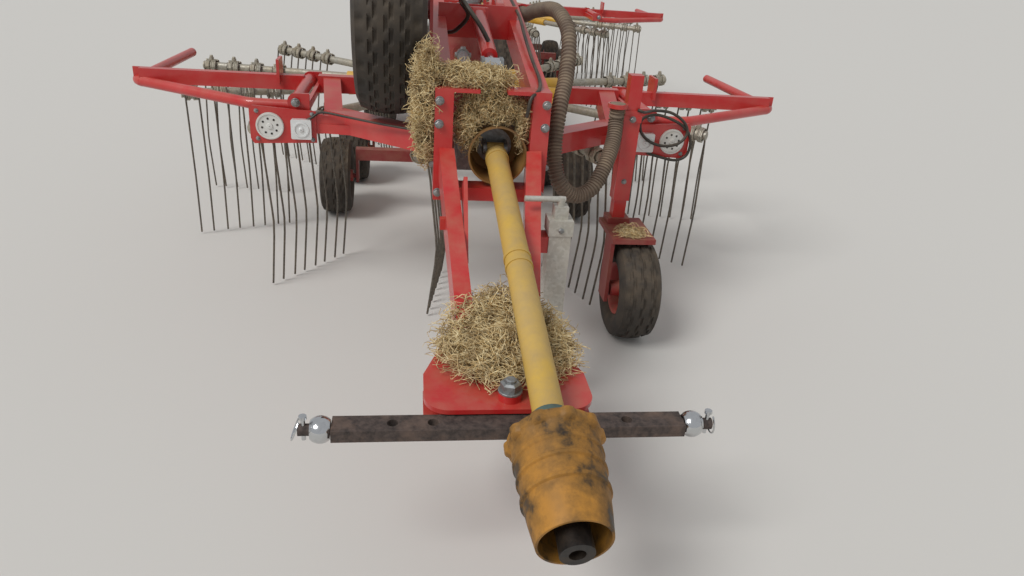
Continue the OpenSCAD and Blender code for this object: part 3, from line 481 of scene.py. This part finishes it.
# %% Tine arms with wound springs
arm_height = joint_place("rotor1_spin").z * 1000
arm_count, arm_start, arm_end = 12, 510, 1420
tine_count, first_tine, tine_pitch = 4, 45, 125
wire, wire_sides = 0.0046, 6
coil_radius, coil_gap, coil_length = 32.0, 7, 22
coil_turns, coil_steps = 3, 24
upper = [(coil_radius * 0.6, coil_radius * 0.8), (coil_radius, 4), (coil_radius, -12), (46, -90), (74, -330)]
prong_line = [(back, arm_height + up) for back, up in upper] + [(78, 310), (74, 240), (50, 40), (46, 10)]


def double_tine(coils, prongs, turn, x):
    """Adds a double tine, x mm out along an arm: its coils to one mesh and its prongs to another."""

    def spot(out, back, up):
        return turn @ Vector((out, back, up)) / 1000

    top = arm_height + coil_radius
    for s in (-1, 1):
        loop = [spot(x, 0, top + 2), spot(x + 4, 0, top)] if s > 0 else []
        coil = []
        for k in range(coil_steps + 1):
            a = math.tau * coil_turns * k / coil_steps - math.pi / 2
            out = x + s * (coil_gap + coil_length * k / coil_steps)
            coil.append(spot(out, coil_radius * math.cos(a), arm_height - coil_radius * math.sin(a)))
        sweep(coils, loop + coil, wire, wire_sides)
        sweep(prongs, [spot(out, back, up) for back, up in prong_line], wire, wire_sides)
    clamp_radius, stud_radius = 0.0275, 0.012
    stud_foot, stud_top, nut_foot = 14, 46, 44
    sweep(coils, [spot(x - 6, 0, arm_height), spot(x + 6, 0, arm_height)], clamp_radius, 12)
    nut(coils, spot(x, 0, arm_height + nut_foot), upward, 0.017, 0.012)
    sweep(coils, [spot(x, 0, arm_height + stud_foot), spot(x, 0, arm_height + stud_top)], stud_radius, 10)


for rotor, turned_by in {"rotor1": -9.6, "rotor2": 5.4}.items():
    shape = bmesh.new()
    prongs = bmesh.new()
    for k in range(arm_count):
        turn = Matrix.Rotation(math.radians(-90 + turned_by + 360 / arm_count * k), 3, "Z")
        for start, end, radius in ((arm_start, arm_end - 3, 0.021), (arm_end - 6, arm_end - 1, 0.0215)):
            sweep(shape, [turn @ Vector((x, 0, arm_height)) / 1000 for x in (start, end)], radius, 16)
        for j in range(tine_count):
            double_tine(shape, prongs, turn, arm_end - first_tine - tine_pitch * j)
    hub = joint_place(rotor + "_spin")
    for part in (shape, prongs):
        bmesh.ops.translate(part, verts=part.verts, vec=Vector((hub.x, hub.y, 0)))
    arms = new_piece(rotor + "_arm_tubes", shape, "dusty_zinc", rotor)
    new_piece(rotor + "_prongs", prongs, "tines", rotor)
    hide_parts(rotor + "_arms")
    print(rotor, "arms", len(arms.data.polygons), "faces")

# %% [markdown]
# Implement tyres carry shallow zig-zag grooves round a rounded tread, with plain walls. The tyre is one
# turned skin, fine enough round and across that the grooves can be pressed into it: each point of the
# tread moves inwards where a zig-zag line passes. Building the blocks as separate bodies would take ten
# times the faces and would look the same from where one stands.

# %% A tyre with a zig-zag tread
def tyre(name, centre, body, radius, width, bore, rounds, grooves, depth):
    """Turns a tyre about its axle; grooves gives each groove's middle as a share of the half width."""
    half = width / 2
    crown = radius - bore
    wall_shares = [(0.62, 0), (0.80, 0.06), (0.97, 0.28), (1.0, 0.5), (0.97, 0.72), (0.86, 0.88)]
    wall = [(half * across, bore + rise * crown) for across, rise in wall_shares]
    tread_half, tread_steps = half * 0.76, 44
    zig, zig_steps = half * 0.07, 3
    groove_half = half * 0.055
    edge_fall, roundness = 0.10 * crown, 2.6
    shoulder, notch_depth = tread_half * 0.84, depth * 0.8

    def section(i):
        swing = zig if (i // zig_steps) % 2 else -zig
        tread = []
        for j in range(tread_steps + 1):
            w = tread_half - 2 * tread_half * j / tread_steps
            r = radius - edge_fall * abs(w / tread_half) ** roundness
            if min(abs(w - g * half - swing) for g in grooves) < groove_half:
                r -= depth
            if abs(w) > shoulder and i % 6 in (0, 1):
                r -= notch_depth
            tread.append((w, r))
        return wall + tread + [(-w, r) for w, r in reversed(wall)]

    shape = bmesh.new()
    turned(shape, centre, rightward, rearward, rounds, section)
    return new_piece(name, shape, "tyre", body)


road_wheels = {
    "raised_tyre": "raised_spin", "road_tyre_left": "road_spin_left", "road_tyre_right": "road_spin_right"
}
for node, axle in road_wheels.items():
    piece = tyre(node + "_tread", joint_place(axle), body_of(node), radius=0.379, width=0.252, bore=0.1955,
                 rounds=180, grooves=(-0.42, 0.0, 0.42), depth=0.009)
    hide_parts(node)
print("road tyres with tread")

# %% [markdown]
# The small wheels have the same kind of tyre on a pressed red rim. A dished disc is turned about the axle,
# with a hub tube, a rolled edge and five bolts. Tyre and rim are one node in the CAD model, so the tyre
# stands for the node and the rim is a piece of its own on the same body.

# %% Small wheels
small_wheels = {"feeler_wheel": "feeler_spin"}
for rotor in ("rotor1", "rotor2"):
    for corner in ("fl", "fr", "rl", "rr"):
        small_wheels[f"{rotor}_wheel_{corner}"] = f"{rotor}_wheel_{corner}_spin"
rim = [
    (-0.084, 0.0127), (-0.084, 0.030), (-0.079, 0.032), (-0.020, 0.032), (-0.014, 0.060), (-0.020, 0.080),
    (-0.052, 0.092), (-0.060, 0.100), (-0.062, 0.106), (-0.058, 0.107), (-0.050, 0.104), (0.050, 0.104),
    (0.058, 0.107), (0.062, 0.106), (0.058, 0.098), (0.002, 0.090), (-0.010, 0.080), (-0.008, 0.032),
    (0.079, 0.032), (0.084, 0.030), (0.084, 0.0127),
]
bolt_circle, bolt_size, disc_faces = 0.056, 0.010, ((-1, -0.0155), (1, -0.0085))
for node, axle in small_wheels.items():
    centre = joint_place(axle)
    piece = tyre(node + "_tyre", centre, body_of(node), radius=0.2045, width=0.162, bore=0.104,
                 rounds=96, grooves=(-0.5, 0.0, 0.5), depth=0.006)
    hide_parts(node)
    shape = bmesh.new()
    turned(shape, centre, rightward, rearward, 40, rim)
    new_piece(node + "_rim", shape, "wheel_red", body_of(node))
    shape = bmesh.new()
    for out in around(rearward, upward, 5):
        for s, face in disc_faces:
            bolt(shape, centre + bolt_circle * out + face * rightward, s * rightward, bolt_size)
    new_piece(node + "_bolts", shape, "zinc", body_of(node), smooth=False)
print("small wheels", len(small_wheels))

# %% [markdown]
# The hoses run inside a corrugated sleeve. Its ribs are rings of two radii in turn along the same smooth
# route as the CAD solid, which ends in a clip on the rail and a clip on the feeler wheel's post.

# %% The corrugated sleeve
sleeve_route = [
    (224, 2100, 1155), (224, 2050, 1155), (224, 1990, 1155), (250, 1850, 1190), (300, 1680, 1210),
    (322, 1500, 1150), (300, 1350, 1030), (262, 1230, 930), (243, 1160, 800), (262, 1130, 690),
    (325, 1135, 632), (398, 1165, 650), (455, 1220, 730), (495, 1300, 800), (508, 1345, 860),
    (508, 1345, 890), (508, 1345, 930),
]
ring_gap, rib_radius, groove_radius = 0.0024, 0.0296, 0.0250
fine = smooth_path([at(*p) for p in sleeve_route], 90)
path = [fine[0]]
for point in fine:
    if (point - path[-1]).length > ring_gap:
        path.append(point)
shape = bmesh.new()
sweep(shape, path, [rib_radius if (k // 2) % 2 else groove_radius for k in range(len(path))], 14)
sleeve = new_piece("hose_sleeve", shape, "hose", "frame")
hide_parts("corrugated_hose")
print("sleeve", len(path), "rings")

# %% [markdown]
# The drive shaft's front guard is a moulded cone. Its rim has ten lobes where the fingers of the joint's
# lock sit, and ribs run round it. Turning a profile gives the cone, and each point of the rim moves out
# where a lobe is. A green collar held by six nuts closes the gap between the guard tube and the cone, and
# three plain bands ring the tube.

# %% The front guard cone
shaft_joint = joint_place("pto_lift")
shaft_run, shaft_fall, shaft_shift = 1050, 258, 22
drop = math.atan2(shaft_fall, shaft_run)
aside = math.atan2(shaft_shift, shaft_run)
shaft_axis = Vector((math.cos(drop) * math.sin(aside), -math.cos(drop) * math.cos(aside), -math.sin(drop)))
shaft_side = shaft_axis.orthogonal().normalized()
cone_start, cone_steps = 1.2655, 120
lobes, lobe_height, lobe_foot, rim_from = 10, 0.007, 0.004, 0.103
cone = [
    (0.000, 0.0305), (0.000, 0.106), (0.002, 0.109), (0.022, 0.109), (0.025, 0.106), (0.029, 0.099),
    (0.058, 0.097), (0.061, 0.100), (0.069, 0.100), (0.072, 0.097), (0.100, 0.095), (0.103, 0.098),
    (0.110, 0.098), (0.113, 0.094), (0.148, 0.092), (0.151, 0.096), (0.160, 0.096), (0.163, 0.091),
    (0.200, 0.087), (0.248, 0.080), (0.254, 0.079), (0.254, 0.074), (0.248, 0.074), (0.160, 0.085),
    (0.030, 0.093), (0.012, 0.090), (0.012, 0.0305),
]
collar = [(-0.060, 0.0378), (-0.060, 0.045), (-0.040, 0.047), (-0.038, 0.043), (-0.012, 0.043),
          (-0.010, 0.060), (-0.001, 0.060), (-0.001, 0.0378)]


def lobed_cone(i):
    """The cone's profile at one step of the turn, with the rim moved out where a lobe is."""
    wave = max(0.0, math.cos(lobes * math.tau * i / cone_steps)) ** 0.6
    shift = lobe_height * wave - lobe_foot
    return [(cone_start + w, r + shift if r > rim_from else r) for w, r in cone]


shape = bmesh.new()
turned(shape, shaft_joint, shaft_axis, shaft_side, cone_steps, lobed_cone)
piece = new_piece("front_cone", shape, "greasy_plastic", "pto_shaft")
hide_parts("pto_front_cone")
shape = bmesh.new()
turned(shape, shaft_joint, shaft_axis, shaft_side, 60, [(cone_start + w, r) for w, r in collar])
flange_face, nut_ring = -0.010, 0.052
flange = shaft_joint + shaft_axis * (cone_start + flange_face)
for out in around(shaft_side, shaft_axis.cross(shaft_side), 6):
    nut(shape, flange + nut_ring * out, -shaft_axis, 0.011, 0.007)
new_piece("guard_collar", shape, "collar_green", "pto_shaft")
shape = bmesh.new()
band_inside, band_outside, band_width = 0.0376, 0.0402, 0.014
for w in (0.07, 0.62, 0.66):
    band = [(w, band_inside), (w, band_outside), (w + band_width, band_outside),
            (w + band_width, band_inside)]
    turned(shape, shaft_joint, shaft_axis, shaft_side, 48, band)
new_piece("guard_bands", shape, "guard_plastic", "pto_shaft")
print("front cone and collar")

# %% [markdown]
# Under the hinge the two open shafts meet in a universal joint whose middle lies on the hinge's own axis,
# so it bends as the boom swings. Each half is a forged yoke with two ears and a pin through them. The front
# half's pins stand upright on the axis and the rear half's lie level, and a small drum fills the middle.

# %% The joint under the hinge
open_shaft_height = 0.880
hinge = joint_place("boom_swing")
pivot = Vector((hinge.x, hinge.y, open_shaft_height))
boom_end = joint_place("rotor2_spin")
behind = Vector((boom_end.x - pivot.x, boom_end.y - pivot.y, 0)).normalized()
halves = {"frame": (-rearward, upward), "boom": (behind, behind.cross(upward))}
ear = [(0.052, 0.021), (0.034, 0.029), (0.014, 0.031), (-0.009, 0.031)]
for body, (away, across) in halves.items():
    shape = bmesh.new()
    for far, near, radius in ((0.088, 0.046, 0.034), (0.062, 0.030, 0.026)):
        sweep(shape, [pivot + away * far, pivot + away * near], radius, 20)
    for s in (-1, 1):
        sweep(shape, [pivot + away * along + across * (s * w) for along, w in ear], 0.0095, 10)
        sweep(shape, [pivot + across * (s * 0.0155), pivot + across * (s * 0.043)], 0.0075, 12)
    if body == "frame":
        sweep(shape, [pivot - upward * 0.018, pivot + upward * 0.018], 0.0135, 16)
    new_piece(body + "_hinge_yoke", shape, slot_of["drive_shafts"], body)
print("joint under the hinge")

# %% [markdown]
# Bolts hold the plates. Each is a washer, a chamfered nut and the end of its thread, placed on the face
# of the plate that it clamps. One table lists them by the way they face and by the thread's size.

# %% Bolts and nuts
bolts = {
    "frame": [
        (upward, 28, [(-25, 70, 502)]),
        (upward, 14, [(-140, 300, 482), (90, 300, 482)]),
        (upward, 12, [(600, 1240, 442)]),
        (-rearward, 8, [(-845, 1502, 700), (-845, 1502, 806), (-640, 1502, 702), (-640, 1502, 800),
                        (845, 1502, 700), (845, 1502, 806)]),
        (-rearward, 10, [(575, 1353, 620), (200, 715, 660)]),
        (-rearward, 12, [(575, 1350, 868)]),
        (-rearward, 14, [(side * 175, 1010, height) for height in (980, 905, 672) for side in (-1, 1)]),
        (-rearward, 16, [(700, 1513, 840), (-700, 1513, 840)]),
        (rightward, 12, [(190, 1040, 760)]),
        (rightward, 10, [(235, 755, 665)]),
        (-rightward, 12, [(-190, 1040, 760)]),
        (-rightward, 14, [(-190, 1500, 1090), (-190, 1560, 1090)]),
    ],
    "boom": [(-rearward, 16, [(1350, 5283, 840), (-50, 5283, 840)])],
}
for body, rows in bolts.items():
    shape = bmesh.new()
    for facing, size, places in rows:
        for place in places:
            bolt(shape, at(*place), facing, size / 1000)
    new_piece(body + "_bolts", shape, "zinc", body, smooth=False)
nut_circle, nut_size, plate_faces = 0.110, 0.016, ((-1, -0.0155), (1, 0.001))
for node, axle in road_wheels.items():
    shape = bmesh.new()
    for out in around(rearward, upward, 6):
        for s, face in plate_faces:
            bolt(shape, joint_place(axle) + nut_circle * out + face * rightward, s * rightward, nut_size)
    new_piece(node + "_nuts", shape, "zinc", body_of(node), smooth=False)
print("bolts placed")

# %% [markdown]
# Both hitch pins carry a linch pin with a sprung ring, which hangs below the pin's head. The left ring
# leans out further. The rings are wire, swept round a flattened circle, and ride on the crossbar's body
# as it swings.

# %% Linch pin rings
bar_middle, bar_half, pin_reach, pin_height = -25, 412.5, 62, 478
ring_steps, ring_wire = 28, 0.0022
for s, name, lean in ((-1, "left", 0.010), (1, "right", 0.002)):
    shape = bmesh.new()
    head = at(bar_middle + s * (bar_half + pin_reach), 0, pin_height)
    path = []
    for k in range(ring_steps - 1):
        a = math.tau * k / ring_steps
        fall = 1 - math.cos(a)
        out = s * (0.006 + lean * fall)
        path.append(head + Vector((out, 0.024 * math.sin(a) - 0.006, 0.006 - 0.026 * fall)))
    sweep(shape, path, ring_wire, 8)
    new_piece("linch_ring_" + name, shape, "chrome", "hitch")
print("linch rings")

# %% [markdown]
# The lamps are square with a clear lens over a round reflector, and the discs beside them are white
# plastic with a rim, a centre boss and small holes that lie in shade. Rings turned about a level line
# along the machine give them their steps. The holes are not cut: shallow dark plugs in the greasy iron
# finish stand on the disc as painted shade for the shade inside each hole.

# %% Lamps and discs
def forward_rings(name, look, centres, profiles, steps=48):
    """Makes a piece of rings that stand out forwards; each profile is turned at each centre."""
    shape = bmesh.new()
    for centre in centres:
        for profile in profiles:
            turned(shape, centre, -rearward, rightward, steps, profile)
    new_piece(name, shape, look, "frame")


lamp_rings = [[(0.0, 0.022), (0.0, 0.030), (0.003, 0.029), (0.003, 0.023)],
              [(0.0, 0.002), (0.0, 0.010), (0.004, 0.008), (0.006, 0.002)]]
disc_rings = [[(0.0, 0.044), (0.0, 0.051), (0.003, 0.050), (0.003, 0.045)],
              [(0.0, 0.002), (0.0, 0.012), (0.004, 0.010), (0.005, 0.002)]]
hole_shade = [(0.0, 0.0005), (0.0, 0.0042), (0.0008, 0.0042), (0.0008, 0.0005)]
hole_circle = 0.029
for s, name in ((-1, "left"), (1, "right")):
    disc = at(s * 798, 1496.5, 750)
    forward_rings("lamp_glass_" + name, "lens", [at(s * 680, 1479.4, 745)], lamp_rings)
    forward_rings("disc_rim_" + name, "white_plastic", [disc], disc_rings)
    holes = [disc + hole_circle * out for out in around(rightward, upward, 8, start=0.2)]
    # The dark plugs are painted shade: they stand for the shade inside each hole, not for greasy iron.
    forward_rings("disc_hole_shade_" + name, "greasy_iron", holes, [hole_shade], 12)
print("lamps and discs")

# %% [markdown]
# Electric cables and thin hydraulic hoses are tied to the machine. Each is a plain round tube along a
# smooth path, from one place where it meets the machine to the other.

# %% Cables and thin hoses
cables = {
    "lamp_cable": (0.0060, [
        (590, 1352, 905), (612, 1352, 898), (650, 1420, 884), (700, 1470, 880), (770, 1478, 872),
        (830, 1480, 836), (850, 1480, 790), (820, 1476, 750), (760, 1472, 738), (700, 1472, 752),
        (655, 1474, 790), (650, 1474, 840), (700, 1476, 862), (770, 1480, 848), (840, 1486, 812),
        (872, 1486, 760), (866, 1486, 700), (820, 1488, 676), (740, 1490, 690), (700, 1496, 700),
    ]),
    "cylinder_hose": (0.0080, [
        (0, 1300, 1132), (-30, 1298, 1180), (-70, 1310, 1230), (-95, 1370, 1260), (-90, 1450, 1240),
        (-60, 1500, 1190), (-100, 1560, 1130), (-128, 1640, 1110),
    ]),
    "rail_cable": (0.0060, [
        (140, 2090, 1250), (150, 1900, 1215), (160, 1700, 1172), (158, 1500, 1125), (160, 1300, 1076),
        (165, 1150, 1040), (150, 1040, 1024), (120, 1004, 1000), (110, 1003, 940),
    ]),
    "left_lamp_cable": (0.0045, [
        (-190, 1240, 820), (-260, 1250, 822), (-380, 1330, 818), (-500, 1420, 815), (-600, 1490, 812),
        (-640, 1494, 790), (-668, 1494, 776),
    ]),
}
for name, (radius, points) in cables.items():
    path = smooth_path([at(*p) for p in points], 8)
    shape = bmesh.new()
    sweep(shape, path, radius, 10)
    cable = new_piece(name, shape, "black_rubber", "frame")
print("cables", len(cables))

# %% [markdown]
# Hay lies on the headstock and hangs in the arch. Each stalk is its own thin bent rod with three sides,
# dropped at a random place in a heap with a seeded generator, so the heap is the same in every run. A few
# thousand stalks over a lumpy core read as a soft, dry heap, where a textured mound would look like a
# stone. No stalk may lie in the drive shaft, and behind the headstock's plate the bed of hay rises with
# the drawbar members that it lies on.

# %% Hay
draw = random.Random(7)
shaft_clearance = 0.047
shortest, longest, thinnest, thickest = 0.030, 0.075, 0.0007, 0.0014
spread, heap_edge, squash, kink = 0.45, 1.05, 0.9, 0.010


def off_shaft(point):
    """The way from the drive shaft's axis to the point."""
    return point - shaft_joint - shaft_axis * (point - shaft_joint).dot(shaft_axis)


def stretched(spot, radii):
    return Vector([c * r for c, r in zip(spot, radii)])


def stalks(shape, count, centre, radii, bed, upright, allowed):
    made = 0
    while made < count:
        spot = Vector([draw.gauss(0, spread) for _ in range(3)])
        if spot.length > heap_edge:
            continue
        if bed:
            spot.z = abs(spot.z) * squash
        middle = centre + stretched(spot, radii) / 1000
        if bed:
            middle.z += bed(middle)
        heading = Vector((draw.gauss(0, 1), draw.gauss(0, 1), draw.gauss(0, upright))).normalized()
        length = draw.uniform(shortest, longest)
        bend = Vector([draw.gauss(0, kink) for _ in range(3)])
        line = ((-0.5, 0), (-0.17, 1), (0.17, 1), (0.5, 0))
        path = [middle + heading * length * share + bend * bent for share, bent in line]
        if all(off_shaft(p).length > shaft_clearance and allowed(p) for p in path):
            sweep(shape, path, draw.uniform(thinnest, thickest), 3)
            made += 1


def core(shape, centre, radii, bed):
    """A lumpy mass under the stalks, so that no light shows through the heap."""
    ball = bmesh.ops.create_icosphere(shape, subdivisions=4, radius=1.0)
    for vert in ball["verts"]:
        x, y, z = vert.co
        wave = math.sin(9 * x + 3 * z) * math.sin(8 * y + 5 * z)
        lump = 0.80 + 0.14 * wave + draw.uniform(-0.03, 0.03)
        spot = centre + stretched((x, y, max(z, 0.0) if bed else z), radii) * lump / 1000
        if bed:
            spot.z += bed(spot)
        away = off_shaft(spot)
        if away.length < shaft_clearance:
            spot += away.normalized() * (shaft_clearance - away.length)
        vert.co = spot


def on_headstock(point):
    """How far the bed has risen at a point behind the headstock's plate."""
    plate_end, rise = 332, 0.00048
    return max(0.0, (point.y - origin.y) * 1000 - plate_end) * rise


# each heap: stalks, middle, radii, bed, how upright the stalks stand, the core's share, where hay may be
heaps = {
    "hay_headstock": (8200, (-8, 285, 483), (190, 200, 72), on_headstock, 0.25, 0.85, lambda p: p.z > 0.484),
    "hay_left": (4600, (-214, 1090, 950), (48, 80, 205), None, 0.9, 0.62, lambda p: True),
    "hay_arch_top": (2600, (-70, 1085, 1040), (150, 64, 50), None, 0.4, 0.62, lambda p: True),
    "hay_arch_front": (1500, (5, 1066, 955), (120, 34, 60), None, 0.9, 0, lambda p: p.z > 0.892),
    "hay_arch_right": (500, (106, 1070, 900), (22, 36, 80), None, 0.9, 0, lambda p: p.x > at(80, 0, 0).x),
    "hay_gearbox": (1500, (-76, 1085, 900), (40, 45, 90), None, 0.8, 0, lambda p: p.x < at(-24, 0, 0).x),
    "hay_rails": (1600, (-50, 1400, 985), (80, 130, 50), None, 0.3, 0.62, lambda p: True),
    "hay_fork": (260, (600, 1240, 446), (60, 60, 14), None, 0.2, 0, lambda p: p.z > 0.443),
}
for name, (count, centre, radii, bed, upright, core_share, allowed) in heaps.items():
    shape = bmesh.new()
    stalks(shape, count, at(*centre), radii, bed, upright, allowed)
    new_piece(name, shape, "hay", "frame", smooth=False)
    if core_share:
        shape = bmesh.new()
        core(shape, at(*centre), [r * core_share for r in radii], bed)
        new_piece(name + "_core", shape, "hay", "frame", smooth=False)
print("hay heaps", len(heaps))

# %% [markdown]
# The machine stands on a plain pale floor under soft light: an even world and one broad lamp, set so
# that a surface shows about the colour that it was given.

# %% The floor and the light
floor_shape = bmesh.new()
bmesh.ops.create_grid(floor_shape, x_segments=1, y_segments=1, size=150)
floor_mesh = bpy.data.meshes.new("floor")
floor_shape.to_mesh(floor_mesh)
floor_shape.free()
floor = bpy.data.objects.new("floor", floor_mesh)
floor.location.z = -0.001
bpy.context.scene.collection.objects.link(floor)
floor_look = bpy.data.materials.new("floor")
floor_look.use_nodes = True
floor_shader = floor_look.node_tree.nodes["Principled BSDF"].inputs
floor_shader["Base Color"].default_value = colour("cfccc6")
floor_shader["Roughness"].default_value = 0.9
floor_mesh.materials.append(floor_look)

world = bpy.data.worlds.new("soft studio")
world.use_nodes = True
bpy.context.scene.world = world
sky = world.node_tree.nodes["Background"].inputs
sky["Color"].default_value = (0.95, 0.97, 1.0, 1)
sky["Strength"].default_value = 0.5
lamp = bpy.data.objects.new("key", bpy.data.lights.new("key", "SUN"))
lamp.data.energy = 1.9
lamp.data.angle = math.radians(25)
lamp.rotation_euler = (math.radians(38), math.radians(-22), math.radians(-30))
bpy.context.scene.collection.objects.link(lamp)
bpy.context.scene.view_settings.view_transform = "Standard"
print("floor and light set")
